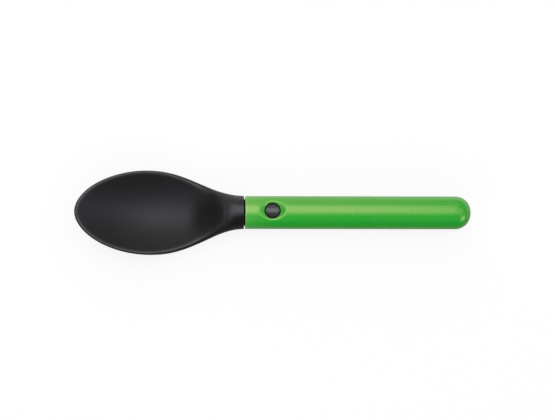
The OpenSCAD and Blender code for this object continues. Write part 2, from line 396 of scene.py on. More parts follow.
def along(line, s):
    """Smooth curve through stations: cubic pieces whose slope is that of the neighbours' chord."""
    x, y = line.T
    chord = np.diff(y) / np.diff(x)
    slope = np.concatenate([chord[:1], (y[2:] - y[:-2]) / (x[2:] - x[:-2]), chord[-1:]])
    i = np.clip(np.searchsorted(x, s, "right") - 1, 0, len(x) - 2)
    h = x[i + 1] - x[i]
    t = (s - x[i]) / h
    return (y[i] * (2 * t**3 - 3 * t**2 + 1) + slope[i] * h * (t**3 - 2 * t**2 + t)
            + y[i + 1] * (3 * t**2 - 2 * t**3) + slope[i + 1] * h * (t**3 - t**2))


print("the rim is", RIM_LINE[0, 1], "mm above the handle's axis at the tip")

# %% [markdown]
# Seen from above, the front of the bowl is half a superellipse, and its back narrows to the
# collar along a cosine wave. The hollow keeps a rim's width inside that outline. It is a parabola
# across, so its half width is worked out squared, which may go below zero past its ends.

# %% Outline and hollow of the spoon head
BOWL_HALF, WIDEST_AT, BOWL_DEPTH = 17.8, 30.15, 8.1
TIP_POWER, WAIST_POWER, WAIST_LEN = 1.87, 1.18, 40.0
RIM_SIDE, RIM_TIP, RIM_NECK = 0.85, 0.9, 1.45
RIM_GROWS_AT, RIM_GROWS_OVER = 28.0, 26.0
HOLLOW_END, CLOSING_POWER = 62.5, 8
BACK_STEEPNESS, BACK_AT, BACK_SPREAD = 0.18, 51.8, 8.0


def half_width(s):
    """Plan outline: a superellipse up to the widest place, then a cosine waist to the collar."""
    front = BOWL_HALF * (1 - np.clip(1 - s / WIDEST_AT, 0, 1) ** TIP_POWER) ** (1 / TIP_POWER)
    waist = np.clip((s - WIDEST_AT) / WAIST_LEN, 0, None) ** WAIST_POWER
    return np.where(s < WIDEST_AT, front, COLLAR_R + (BOWL_HALF - COLLAR_R) * (1 - ease(waist)))


def hollow_square(s):
    """Half width of the hollow, squared: the outline less the rim, closed off at both ends."""
    base = 1 - np.clip((WIDEST_AT - s) / (WIDEST_AT - RIM_TIP), 0, None) ** TIP_POWER
    front = (BOWL_HALF - RIM_SIDE) ** 2 * np.where(base > 0, np.abs(base) ** (2 / TIP_POWER), base)
    rim = RIM_SIDE + (RIM_NECK - RIM_SIDE) * ease((s - RIM_GROWS_AT) / RIM_GROWS_OVER)
    closing = 1 - np.clip((s - WIDEST_AT) / (HOLLOW_END - WIDEST_AT), 0, None) ** CLOSING_POWER
    return np.where(s < WIDEST_AT, front, (half_width(s) - rim) ** 2 * closing)


def hollow_curve(s):
    """How fast the hollow rises with the square of y, a little faster near its back wall."""
    hump = np.exp(-(((s - BACK_AT) / BACK_SPREAD) ** 2))
    return BOWL_DEPTH / (BOWL_HALF - RIM_SIDE) ** 2 * (1 + BACK_STEEPNESS * hump)


print("bowl", 2 * BOWL_HALF, "mm wide, its hollow", BOWL_DEPTH, "mm deep")

# %% [markdown]
# Seen from the side, the underside falls from the nose in a parabola and rises again to the
# collar. The upper side of a section is the lower of two curves, the crown of the body and the
# hollow. The rim is where they cross, and the crossing is rounded: a little along the bowl, and
# more beside the neck, where the crest climbs to the collar.

# %% Heights of the spoon head
NOSE_LEN, NOSE_DROP, KEEL_END = 0.9, 0.5, 68.0
CREST_ROUND, CREST_NECK = 1.0, 4.0
NECK_FROM, NECK_IN, NECK_TO, NECK_OUT, NECK_SIDE = 48.0, 9.0, 59.5, 6.0, 6.0


def nose(s):
    """Quarter circle over the first part of a millimetre, which rounds the tip."""
    return np.sqrt(1 - (1 - np.minimum(1, s / NOSE_LEN)) ** 2)


def keel(s):
    """Height of the underside's middle line: a parabola from the tip, then a rise to the collar."""
    top = WIDEST_LINE[0, 1]
    fall = (AXIS_HEIGHT + top - NOSE_DROP) * (1 - (1 - s / WIDEST_AT) ** 2)
    rise = (AXIS_HEIGHT - COLLAR_R) * ease((s - WIDEST_AT) / (KEEL_END - WIDEST_AT))
    return np.where(s < WIDEST_AT, top - NOSE_DROP * nose(s) - fall, rise - AXIS_HEIGHT)


def upper_height(s, y):
    """Soft minimum of the crown, half an ellipse, and the hollow, a parabola across; the rounding
    grows beside the neck."""
    w, side, rim = half_width(s), along(WIDEST_LINE, s), along(RIM_LINE, s)
    square = hollow_square(s)
    crown = (rim - side) * nose(s) / np.sqrt(1 - np.maximum(0, square) / w**2)
    body = side + crown * np.sqrt(np.maximum(0, 1 - (y / w) ** 2))
    neck = ease((s - NECK_FROM) / NECK_IN) * (1 - ease((s - NECK_TO) / NECK_OUT))
    beside = neck * ease(np.abs(y) / NECK_SIDE)
    crest_round = CREST_ROUND + (CREST_NECK - CREST_ROUND) * beside
    return soft_min(body, rim + hollow_curve(s) * (y**2 - square), crest_round)


bowl_floor = float(upper_height(WIDEST_AT, 0.0) - keel(WIDEST_AT))
print("the bowl's floor is", round(bowl_floor, 2), "mm thick")

# %% [markdown]
# The sections become a grid: one row for each distance, one column for each place round the
# section. Points crowd together at the nose and near the rim, because the surface turns fastest
# there. Nothing may stand higher than the CAD model, so its box gives the upper limit.

# %% Sections of the spoon head
COLLAR_ROUND, TIP_START, KEEL_ROUND = 0.2, 0.006, 0.2
BELLY_POWER, BELLY_ROUNDS_AT, BELLY_ROUNDS_OVER = 1.6, 45.0, 20.0
RIM_CROWDING = 1.6
HEAD_TOP = cad_box[1][2] / MM - AXIS_HEIGHT


def head_stations(front=110, back=140, edge=6):
    """Distances from the tip: close at the nose, even along the body, close on the collar's
    edge."""
    start = HEAD_LEN - COLLAR_ROUND
    first = math.acos(1 - TIP_START / WIDEST_AT)
    return np.concatenate([
        WIDEST_AT * (1 - np.cos(np.linspace(first, np.pi / 2, front + 1))),
        np.linspace(WIDEST_AT, start, back + 1)[1:],
        start + COLLAR_ROUND * np.sin(np.linspace(0, np.pi / 2, edge + 1)[1:])])


def belly_drop(across, power):
    """Share of the depth at a share of the half width: a superellipse with its keel rounded."""
    start, full = KEEL_ROUND**power, (1 + KEEL_ROUND**2) ** (power / 2)
    lift = (across**2 + KEEL_ROUND**2) ** (power / 2) - start
    return np.maximum(0, 1 - lift / (full - start)) ** (1 / power)


def head_sections(s, hollow=44, rim=20, belly=40):
    """Half sections from the middle of the hollow out over the rim and under, then mirrored."""
    s = s[:, None]
    w, side = half_width(s), along(WIDEST_LINE, s)
    crest = np.maximum(np.sqrt(np.maximum(0, hollow_square(s))), w / 2)
    inner = crest * (1 - (1 - np.linspace(0, 1, hollow + 1)) ** RIM_CROWDING)
    outer = crest + (w - crest) * np.sin(np.linspace(0, np.pi / 2, rim + 1)[1:-1])
    top = np.concatenate([inner, outer], 1)
    power = BELLY_POWER + (2 - BELLY_POWER) * ease((s - BELLY_ROUNDS_AT) / BELLY_ROUNDS_OVER)
    across = np.maximum(0, np.cos(np.linspace(0, np.pi / 2, belly + 1)[None, :])) ** (2 / power)
    under = side - (side - keel(s)) * belly_drop(across, power)
    y = np.concatenate([top, w * across], 1)
    z = np.concatenate([upper_height(s, top), under], 1)
    t = np.clip((s - HEAD_LEN + COLLAR_ROUND) / COLLAR_ROUND, 0, 1)
    scale = 1 - COLLAR_ROUND / COLLAR_R * (1 - np.sqrt(1 - t * t))
    y = np.concatenate([y, -y[:, -2:0:-1]], 1) * scale
    z = np.minimum(np.concatenate([z, z[:, -2:0:-1]], 1) * scale, HEAD_TOP)
    return np.stack([np.broadcast_to(s, y.shape), y, z], -1)


head_rings = head_sections(head_stations())
print("spoon head:", head_rings.shape[0], "sections of", head_rings.shape[1], "points")

# %% [markdown]
# Past the collar's rounded edge the last rows carry on over the end face and down the blind
# socket that takes the shank, so the skin is closed. Lips rub the rim, and its crest is marked
# paler up to where the neck begins: the paleness is wear and also a painted highlight along the
# crest. Fingers polish the top of the collar without making it paler, so its mark is negative.

# %% Skin of the spoon head
SPIGOT_R, SPIGOT_LEN, SOCKET_GAP, SOCKET_CLEAR = 4.2, 6.3, 0.05, 0.2
# Width and reach of the rim's paler mark, a painted highlight as well as lip wear.
RIM_SHEEN_WIDTH, RIM_SHEEN_TO, RIM_SHEEN_FADES_OVER = 0.75, 54.0, 6.0
COLLAR_POLISH, POLISH_FROM, POLISH_OVER, POLISH_LOW, POLISH_RISE = 0.95, 62.0, 6.0, 1.5, 4.5


def close_head(rings):
    """A point at the tip; at the other end, the face, the socket wall and the socket's bottom."""
    way = rings[-1][:, 1:] / np.linalg.norm(rings[-1][:, 1:], axis=1, keepdims=True)
    socket_r, bottom = SPIGOT_R + SOCKET_GAP, HEAD_LEN - SPIGOT_LEN - SOCKET_CLEAR
    steps = [(HEAD_LEN, socket_r), (bottom, socket_r), (bottom, 0.0)]
    ends = [np.column_stack([np.full(len(way), x), way * r]) for x, r in steps]
    tip = np.broadcast_to(rings[0].mean(0), rings[0].shape)
    return np.concatenate([tip[None], rings, np.array(ends)])


def rim_sheen_and_wear(s, y, z):
    """1 on the crest of the rim, painted highlight and wear together, fading within about a
    millimetre, less the polish on the collar, which grows from its sides to its top."""
    crest = np.sqrt(np.maximum(0, hollow_square(s)))
    off = np.hypot(np.abs(y) - crest, z - along(RIM_LINE, s) + CREST_ROUND / 2)
    # The crest's paler mark: painted highlight as well as lip wear.
    rubbed = np.exp(-((off / RIM_SHEEN_WIDTH) ** 2)) * (1 - ease((s - RIM_SHEEN_TO) / RIM_SHEEN_FADES_OVER))
    high = ease((z - POLISH_LOW) / POLISH_RISE)
    return rubbed - COLLAR_POLISH * ease((s - POLISH_FROM) / POLISH_OVER) * high


make_piece("spoon_head_skin", [(close_head(head_rings), True)],
           "spoon", "spoon_head", BLACK, wear_and_sheen=rim_sheen_and_wear)

# %% [markdown]
# ## Shank
# Most of the shank hides in the handle until the spoon is pulled out. It is a round bar with a
# flat on top, a channel inside for the spring, and a slot from the flat into the channel that
# ends in two round keyholes. A boolean could cut all that from a cylinder, but the cut would
# have ragged faces. Here the outside and the channel are two skins, each a closed curve carried
# along the bar, which open where the slot is; two strips join them as the slot's walls.

# %% Slot of the shank, in millimetres
SLOT_HALF, KEYHOLE_R = 1.7, 2.6
KEYHOLES = (BUTTON_X, BUTTON_X + TRAVEL)


def slot_half(s):
    """Half width of the slot: the keyhole's circle at each end, and never narrower in between."""
    circle = [np.sqrt(np.maximum(0, KEYHOLE_R**2 - (s - k) ** 2)) for k in KEYHOLES]
    between = np.where((s > KEYHOLES[0]) & (s < KEYHOLES[1]), SLOT_HALF, 0.0)
    return np.maximum(np.maximum(*circle), between)


def slot_stations(turned=40, straight=16):
    """Distances along the slot: round each keyhole by equal angles, then straight between."""
    reach = math.asin(math.sqrt(KEYHOLE_R**2 - SLOT_HALF**2) / KEYHOLE_R)
    angle = np.linspace(-np.pi / 2, reach, turned)
    first = KEYHOLES[0] + KEYHOLE_R * np.sin(angle)
    last = KEYHOLES[1] - KEYHOLE_R * np.sin(angle[::-1])
    return np.concatenate([first, np.linspace(first[-1], last[0], straight)[1:-1], last])


slot_start, slot_end = slot_stations()[[0, -1]]
print("slot from", round(slot_start, 1), "to", round(slot_end, 1), "mm from the tip of the bowl")

# %% [markdown]
# Half of the outside's curve is worked out, from the slot's edge over the flat and round to the
# bottom, and the other half is its mirror image. Where the bar is plain and round, the curve has
# the same number of points, so that rows of both kinds can follow each other in one grid.

# %% Outside of the shank
SHANK_R, FLAT_Z, FLAT_EDGE, SLOT_EDGE = 4.65, 2.55, 0.4, 0.15
CORNER_STEPS, FLAT_STEPS, ROUND_STEPS = 4, 10, 72
CORNER_Y = math.sqrt((SHANK_R - FLAT_EDGE) ** 2 - (FLAT_Z - FLAT_EDGE) ** 2)
CORNER_ANGLE = math.atan2(CORNER_Y, FLAT_Z - FLAT_EDGE)


def in_a_row(parts, rows):
    """Join stretches of a curve; one that is the same at every distance is given once."""
    return np.concatenate([np.broadcast_to(p, (rows, p.shape[1])) for p in parts], 1)


def mirrored(y, z):
    """Carry a half curve from its lower end back up the other side, with y turned round."""
    y = np.concatenate([y, -y[:, -2::-1]], 1)
    z = np.concatenate([z, z[:, -2::-1]], 1)
    return y, z


def flat_curve(s):
    """Outside of the bar where it has its flat: slot edge, flat, rounded corner, then circle."""
    h = slot_half(s)[:, None]
    e = np.minimum(SLOT_EDGE, h / 2)
    a = np.linspace(0, np.pi / 2, CORNER_STEPS)[None, :]
    t = np.linspace(0, 1, FLAT_STEPS)[None, 1:]
    corner = np.linspace(0, CORNER_ANGLE, CORNER_STEPS + 1)[None, 1:]
    around = np.linspace(CORNER_ANGLE, np.pi, ROUND_STEPS)[None, 1:]
    y = in_a_row([h + e * (1 - np.cos(a)), (h + e) * (1 - t) + CORNER_Y * t,
                  CORNER_Y + FLAT_EDGE * np.sin(corner), SHANK_R * np.sin(around)], len(s))
    z = in_a_row([FLAT_Z - e * (1 - np.sin(a)), np.full_like(t, FLAT_Z),
                  FLAT_Z - FLAT_EDGE * (1 - np.cos(corner)), SHANK_R * np.cos(around)], len(s))
    return mirrored(y, z)


def round_curve(radius):
    """Outside of the bar where it is round, with the same number of points as the flat's curve."""
    top = np.concatenate([np.zeros(CORNER_STEPS),
                          np.linspace(0, CORNER_ANGLE, FLAT_STEPS + CORNER_STEPS)[1:]])
    angle = np.concatenate([top, np.linspace(CORNER_ANGLE, np.pi, ROUND_STEPS)[1:]])[None, :]
    r = np.asarray(radius, float)[:, None]
    return mirrored(r * np.sin(angle), r * np.cos(angle))


print("the flat is", round(2 * CORNER_Y, 2), "mm wide between its rounded corners")

# %% [markdown]
# The channel is a rectangle with rounded corners, open at the top by the slot's width. Its curve
# has the same number of points as the outside's, because the two are joined in front.

# %% Channel of the shank
CHANNEL_HALF, CHANNEL_TOP, CHANNEL_FLOOR, CHANNEL_ROUND = 2.8, 1.25, -2.35, 0.5


def channel_curve(s):
    """The channel: roof from the slot outwards, side, floor; a quarter circle at each corner."""
    h = slot_half(s)[:, None]
    roof_steps = CORNER_STEPS + FLAT_STEPS - 1 + CORNER_STEPS
    t = np.sin(np.linspace(0, np.pi / 2, roof_steps))[None, :]
    roof_y = h + (CHANNEL_HALF - h) * t
    inner = CHANNEL_HALF - CHANNEL_ROUND
    bend = np.sqrt(np.maximum(0, CHANNEL_ROUND**2 - np.maximum(0, roof_y - inner) ** 2))
    roof_z = CHANNEL_TOP - CHANNEL_ROUND + bend
    rest = ROUND_STEPS - 1
    a = np.linspace(0, np.pi / 2, rest // 2)
    low_y = np.concatenate([inner + CHANNEL_ROUND * np.cos(a),
                            np.linspace(inner, 0, rest - len(a) + 1)[1:]])[None, :]
    low_z = np.concatenate([CHANNEL_FLOOR + CHANNEL_ROUND * (1 - np.sin(a)),
                            np.full(rest - len(a), CHANNEL_FLOOR)])[None, :]
    return mirrored(in_a_row([roof_y, low_y], len(s)), in_a_row([roof_z, low_z], len(s)))


def carried(s, curve):
    """Stand a row of curves at their distances along the bar."""
    y, z = curve
    return np.stack([np.broadcast_to(np.asarray(s, float)[:, None], y.shape), y, z], -1)


print("channel", 2 * CHANNEL_HALF, "x", round(CHANNEL_TOP - CHANNEL_FLOOR, 2), "mm")

# %% [markdown]
# Where the bar changes from round to flat, two curves stand at the same distance, and the face
# between them is the step. The front end, inside the spoon's collar, is where the channel is
# open, so there the outer curve joins the channel's curve directly.

# %% Skin of the shank
FLANGE_R, FLANGE_EDGE, SPIGOT_LEAD = 5.5, 0.12, 0.3
TAIL, TAIL_ROUND, FLAT_MARGIN, CHANNEL_PAST = MOUTH + 87.0, 1.2, 3.5, 0.3


def shank_grids(turned=10, down=5):
    """Outer skin, channel skin, the ring that joins them in front, and the slot's two walls."""
    front, low, high = HEAD_LEN - SPIGOT_LEN, KEYHOLES[0] - FLAT_MARGIN, KEYHOLES[1] + FLAT_MARGIN
    lead, rim = SPIGOT_LEAD, FLANGE_EDGE
    profile = np.array([
        [front, SPIGOT_R - lead], [front + lead, SPIGOT_R], [HEAD_LEN, SPIGOT_R],
        [HEAD_LEN, FLANGE_R - rim], [HEAD_LEN + rim, FLANGE_R], [MOUTH - rim, FLANGE_R],
        [MOUTH, FLANGE_R - rim], [MOUTH, SHANK_R], [low, SHANK_R]])
    a = np.linspace(0, np.pi / 2, turned)
    rounded = np.column_stack([TAIL - TAIL_ROUND * (1 - np.sin(a)),
                               SHANK_R - TAIL_ROUND * (1 - np.cos(a))])
    tail = np.concatenate([[[high, SHANK_R]], rounded, [[TAIL, 0.0]]])
    slot = slot_stations()
    flat = np.concatenate([[low], slot, [high]])
    outer = np.concatenate([carried(profile[:, 0], round_curve(profile[:, 1])),
                            carried(flat, flat_curve(flat)),
                            carried(tail[:, 0], round_curve(tail[:, 1]))])
    end = KEYHOLES[1] + KEYHOLE_R + CHANNEL_PAST
    inside = np.concatenate([[front], slot, [end]])
    channel = carried(inside, channel_curve(inside))
    middle = np.array([end, 0.0, (CHANNEL_TOP + CHANNEL_FLOOR) / 2])
    channel = np.concatenate([channel, np.broadcast_to(middle, channel[:1].shape)])
    rows = slice(len(profile) + 1, len(profile) + 1 + len(slot))
    share = np.linspace(0, 1, down)[None, :, None]
    walls = [outer[rows, None, i] * (1 - share) + channel[1:-2, None, i] * share for i in (0, -1)]
    grids = [outer, channel, np.stack([outer[0], channel[0]]), *walls]
    return [(grid, False) for grid in grids]


make_piece("shank_skin", shank_grids(), "spoon", "shank", DULL, sharp_deg=40.0)

# %% [markdown]
# ## Handle sleeve
# The handle is a round tube with a domed end. Its one difficult place is the button hole: a
# round hole down through the curved wall, with a countersink that a fingertip can feel. A boolean
# would leave long thin faces there, which shade badly. So round the hole the skin is a fan of
# rings. They start as circles on the hole's edge and end on a rectangular window in the tube's
# own grid, where the two meet point to point.

# %% Button hole of the handle, in millimetres
HOLE_R, SINK_R, SINK_DEPTH, SINK_ROUND = 3.4, 5.25, 1.8, 0.5
WINDOW_X, WINDOW_ANGLE, WINDOW_STEPS = 8.0, math.radians(62.0), 28
RING_CROWDING = 1.35
# Shares of the way from the hole to the window
SQUARE_FROM, SINK_FADES_AT, SINK_FADES_OVER = 0.2, 0.3, 0.5


def tube_height(y, radius):
    """Height of a tube along X above its axis, at y across it."""
    return np.sqrt(np.maximum(radius**2 - y**2, 0))


def sink_height(reach):
    """Height of the countersink at a distance from the hole's axis: a cone."""
    return HANDLE_R - SINK_DEPTH * (SINK_R - reach) / (SINK_R - HOLE_R)


def hole_fan(radius, rings, sunk):
    """Rings from the hole to the window: round at first, then square; heights on tube or sink."""
    x, a = square_border(WINDOW_STEPS)
    border = np.column_stack([x * WINDOW_X, radius * np.sin(a * WINDOW_ANGLE)])
    way = round_border(len(border))
    t = (np.linspace(0, 1, rings) ** RING_CROWDING)[:, None, None]
    straight = HOLE_R * way * (1 - t) + border * t
    square = ease((t - SQUARE_FROM) / (1 - SQUARE_FROM))
    plan = np.linalg.norm(straight, axis=2, keepdims=True) * way * (1 - square) + straight * square
    z = tube_height(plan[..., 1], radius)
    if sunk:
        edge_round = SINK_ROUND * (1 - ease((t[..., 0] - SINK_FADES_AT) / SINK_FADES_OVER))
        z = soft_min(z, sink_height(np.linalg.norm(plan, axis=2)), edge_round)
    return np.stack([plan[..., 0] + BUTTON_X, plan[..., 1], z], -1)


print("button hole", 2 * HOLE_R, "mm, countersink", 2 * SINK_R, "mm across")

# %% [markdown]
# The rest is turned work: a profile of distances and radii, carried round the axis. It is the
# tube outside and the bore inside, each with its dome, and a small rounded lip at the mouth.
# Beside the window the tube is an open sheet, and before and after it the rings are whole. The
# outer dome is drawn slightly fuller than a circle, as the photograph shows it.

# %% Tube, mouth and dome of the handle
MOUTH_ROUND, LEAD_IN, DOME_ROUND, DOME_POWER = 0.2, 0.1, 6.5, 2.06


def sheet(xs, angles, radius):
    """Part of a tube: every distance in xs with every angle from the top."""
    x, a = np.meshgrid(xs, angles, indexing="ij")
    r = np.broadcast_to(np.asarray(radius, float).reshape(-1, 1), x.shape)
    return np.stack([x, r * np.sin(a), r * np.cos(a)], -1)


def ring_angles(around=170):
    """Angles of a whole ring, those of the window first, and of the ring beside the window."""
    window = np.linspace(-WINDOW_ANGLE, WINDOW_ANGLE, 2 * WINDOW_STEPS + 1)
    rest = np.linspace(WINDOW_ANGLE, 2 * np.pi - WINDOW_ANGLE, around - 2 * WINDOW_STEPS + 1)
    return np.concatenate([window, rest[1:-1]]), rest


def tube_with_window(radius, start, stop, before=4, after=40):
    """A plain tube before the window, the open side beside it, and a plain tube after it."""
    ring, rest = ring_angles()
    low, high = BUTTON_X - WINDOW_X, BUTTON_X + WINDOW_X
    return [(sheet(np.linspace(start, low, before), ring, radius), True),
            (sheet(np.linspace(low, high, 2 * WINDOW_STEPS + 1), rest, radius), False),
            (sheet(np.linspace(high, stop, after), ring, radius), True)]


def handle_grids(dome=33, lip=9, outer_rings=48, bore_rings=12, down=4):
    """Outer tube and its dome, a superellipse slightly fuller than a circle; the mouth; the bore
    with a round dome of its own; and the button hole through both."""
    ring, _ = ring_angles()
    centre, bore_centre = OVERALL - DOME_ROUND, OVERALL - HANDLE_R
    a, edge = np.linspace(0, np.pi / 2, dome), np.linspace(0, np.pi / 2, lip)
    mouth_x = np.append(MOUTH + MOUTH_ROUND * (1 - np.sin(edge)), [MOUTH, MOUTH + LEAD_IN])
    mouth_r = np.append(HANDLE_R - MOUTH_ROUND * (1 - np.cos(edge)), [BORE_R + LEAD_IN, BORE_R])
    full = 2 / DOME_POWER
    dome_x = np.append(centre + DOME_ROUND * np.sin(a) ** full, OVERALL)
    dome_r = np.append(HANDLE_R - DOME_ROUND * (1 - np.maximum(0, np.cos(a)) ** full), 0.0)
    domes = [(sheet(dome_x, ring, dome_r), True),
             (sheet(bore_centre + BORE_R * np.sin(a), ring, BORE_R * np.cos(a)), True)]
    fan, bore_fan = hole_fan(HANDLE_R, outer_rings, True), hole_fan(BORE_R, bore_rings, False)
    share = np.linspace(0, 1, down)[:, None, None]
    hole = fan[0] * (1 - share) + bore_fan[0] * share
    return (tube_with_window(HANDLE_R, MOUTH + MOUTH_ROUND, centre)
            + tube_with_window(BORE_R, MOUTH + LEAD_IN, bore_centre) + domes
            + [(sheet(mouth_x, ring, mouth_r), True), (fan, True), (bore_fan, True), (hole, True)])


print("handle", round(OVERALL - MOUTH, 1), "mm long,", 2 * HANDLE_R, "mm thick")

# %% [markdown]
# Paler marks on the handle stand for wear where it is touched, and also paint highlights on it:
# the edge of the mouth is palest, then the edge of the countersink and the sides of its dish, and
# the end that the thumb holds is a little paler than the rest. These marks could be painted by
# hand; here they follow from the same sizes as the shape, so that they always lie on its edges.

# %% Skin of the handle sleeve
# Reach and strength of the handle's paler marks: painted highlights as well as wear.
MOUTH_SHEEN, MOUTH_SHEEN_R = 0.4, 6.0
EDGE_SHEEN, EDGE_SHEEN_FADES = 0.7, 0.3
DISH_SHEEN, FLANK_SHEEN, DISH_START, HOLE_EDGE = 0.2, 0.45, 0.02, 0.1
THUMB_SHEEN, THUMB_REACH = 0.2, 14.0
TINY = 1e-6


def handle_sheen_and_wear(s, y, z):
    """The largest of four paler marks, painted highlight and wear together: the mouth's edge,
    the countersink's edge, its dish, palest on the flanks, and the thumb's end of the handle."""
    mouth = (1 - ease((s - MOUTH) / MOUTH_SHEEN)) * (np.hypot(y, z) > MOUTH_SHEEN_R)
    cone, tube = sink_height(np.hypot(s - BUTTON_X, y)), tube_height(y, HANDLE_R)
    above = z > HANDLE_R - SINK_DEPTH - HOLE_EDGE
    edge = EDGE_SHEEN * np.exp(-(((cone - tube) / EDGE_SHEEN_FADES) ** 2)) * above
    flank = y**2 / np.maximum((s - BUTTON_X) ** 2 + y**2, TINY)
    dish = (DISH_SHEEN + FLANK_SHEEN * flank) * (cone < tube - DISH_START) * above
    thumb = THUMB_SHEEN * (1 - ease((s - MOUTH) / THUMB_REACH))
    return np.maximum.reduce([mouth, edge, dish, thumb])


make_piece("handle_skin", handle_grids(), "handle", "handle_sleeve",
           GREEN, wear_and_sheen=handle_sheen_and_wear, sharp_deg=38.0)

# %% [markdown]
# ## Button
# The button's face is not flat: it is a rounded ridge that runs along the handle, a little below
# the handle's own surface. A turned disc would miss that, so the button is drawn as rings about
# its upright axis, whose heights on top depend on the place across the ridge. Below the head are
# the stem, which runs in the shank's slot, and a peg for the spring's cup.

# %% Button
BUTTON_R, BUTTON_TOP, HEAD_BOTTOM, BUTTON_EDGE = 3.05, 5.3, 3.85, 0.4
RIDGE_SLOPE, RIDGE_ROUND = 0.55, 1.5
STEM_R, PEG_R, STEM_BOTTOM, PEG_BOTTOM = 1.5, 0.75, 2.15, 1.48
PRESSED_R, FACE_FROM = 2.2, 0.2


def button_rings(around=96, face=16, edge=9):
    """Rings from the middle of the face, over the rounded edge, down the stem to the peg; the
    face falls from its ridge along a hyperbola."""
    angle = np.linspace(0, 2 * np.pi, around, endpoint=False)
    a = np.linspace(0, np.pi / 2, edge + 1)[1:]
    face_r = np.concatenate([np.linspace(0, BUTTON_R - BUTTON_EDGE, face),
                             BUTTON_R - BUTTON_EDGE * (1 - np.sin(a))])
    drop = np.concatenate([np.zeros(face), BUTTON_EDGE * (1 - np.cos(a))])
    across = face_r[:, None] * np.sin(angle)
    fall = RIDGE_SLOPE * (np.hypot(across, RIDGE_ROUND) - RIDGE_ROUND)
    face_z = BUTTON_TOP - fall - drop[:, None]
    low = np.array([[BUTTON_R, HEAD_BOTTOM], [STEM_R, HEAD_BOTTOM], [STEM_R, STEM_BOTTOM],
                    [PEG_R, STEM_BOTTOM], [PEG_R, PEG_BOTTOM], [0, PEG_BOTTOM]])
    r = np.concatenate([face_r, low[:, 0]])[:, None]
    z = np.concatenate([face_z, np.broadcast_to(low[:, 1:], (len(low), around))])
    return np.stack([BUTTON_X + r * np.cos(angle), r * np.sin(angle), z], -1)


def button_wear(s, y, z):
    """A bell curve about the middle of the face, where the thumb presses."""
    return np.exp(-((np.hypot(s - BUTTON_X, y) / PRESSED_R) ** 2)) * (z > HEAD_BOTTOM + FACE_FROM)


make_piece("button_skin", [(button_rings(), True)], "button", "lock_button",
           GREY, wear_and_sheen=button_wear)

# %% [markdown]
# ## Latch spring
# Under the button lies a hairpin of stainless strip. Rolling leaves such strip bright, with very
# fine lines along its length. A noise that is stretched along X gives those lines to the colour,
# the roughness and the height together, so that they agree in any light.

# %% Rolled strip finish
LINES_PER_METRE = (90.0, 6000.0, 6000.0)
BRIGHT, BRIGHTER, LINE_DEPTH = (0.5, 0.51, 0.53, 1), (0.62, 0.62, 0.63, 1), 2e-6
ROLLED_SMOOTH, ROLLED_ROUGH = 0.22, 0.4


def rolled_strip():
    """Bright steel: noise drawn out along X makes the fine lines that rolling leaves."""
    material, tree, out = new_material("rolled_strip")
    shader = add_node(tree, "ShaderNodeBsdfPrincipled", 300, 0, Metallic=1.0)
    place = add_node(tree, "ShaderNodeTexCoord", -900, 0)
    stretch = add_node(tree, "ShaderNodeMapping", -700, 0)
    stretch.inputs["Scale"].default_value = LINES_PER_METRE
    lines = add_node(tree, "ShaderNodeTexNoise", -480, 0, Scale=1.0, Detail=4.0)
    colour = add_node(tree, "ShaderNodeMix", -100, 200, data_type="RGBA")
    colour.inputs["A"].default_value = BRIGHT
    colour.inputs["B"].default_value = BRIGHTER
    bump = add_node(tree, "ShaderNodeBump", -100, -250, Strength=1.0, Distance=LINE_DEPTH)
    rough = blend_value(tree, -100, 0, ROLLED_SMOOTH, ROLLED_ROUGH, lines.outputs[0])
    link = tree.links.new
    link(place.outputs["Object"], stretch.inputs["Vector"])
    link(stretch.outputs["Vector"], lines.inputs["Vector"])
    link(lines.outputs[0], colour.inputs["Factor"])
    link(colour.outputs["Result"], shader.inputs["Base Color"])
    link(rough, shader.inputs["Roughness"])
    link(lines.outputs[0], bump.inputs["Height"])
    link(bump.outputs["Normal"], shader.inputs["Normal"])
    link(shader.outputs["BSDF"], out.inputs["Surface"])
    return material


STEEL = rolled_strip()
print("strip:", STEEL.name)

# %% [markdown]
# The hairpin's upper leaf has a cup drawn up in it, which stands in a keyhole and stops the
# slide. A strip is a sheet with a thickness, so only the sheet's middle is drawn: a fan of rings
# for the cup, and a bent line carried across the width for the rest.

# %% Sheet of the latch spring, in millimetres
STRIP_T, STRIP_HALF, LEAF_END, FOOT_LEN = 0.4, 2.5, 2.75, 7.5
LEAF_Z, FOOT_Z, BEND_X = 0.95, -2.05, BUTTON_X - 8.8
CUP_R, CUP_Z, PEG_HOLE_R, CUP_ROUND, CUP_MARGIN = 2.2, 1.93, 0.85, 0.35, 0.25
CUP_SHARE = 0.8


def cup_fan(rings=30, side=14):
    """Rings from the peg's hole over the cup and down its wall, out to the leaf's square end;
    the cup takes the first share of the rings, and its wall is half a cosine wave."""
    x, y = square_border(side)
    border = np.column_stack([x * LEAF_END, y * STRIP_HALF])
    way = round_border(len(border))
    u = np.linspace(0, 1, rings)[:, None, None]
    foot = CUP_R + CUP_MARGIN
    cup = (PEG_HOLE_R + (foot - PEG_HOLE_R) * u / CUP_SHARE) * way
    out = np.clip((u - CUP_SHARE) / (1 - CUP_SHARE), 0, 1)
    plan = np.where(u > CUP_SHARE, foot * way * (1 - out) + border * out, cup)
    rise = 1 - ease((np.linalg.norm(plan, axis=2) - CUP_R + CUP_ROUND) / (2 * CUP_ROUND))
    z = LEAF_Z + (CUP_Z - LEAF_Z) * np.where(u[..., 0] < 1, rise, 0)
    return np.stack([BUTTON_X + plan[..., 0], plan[..., 1], z], -1)


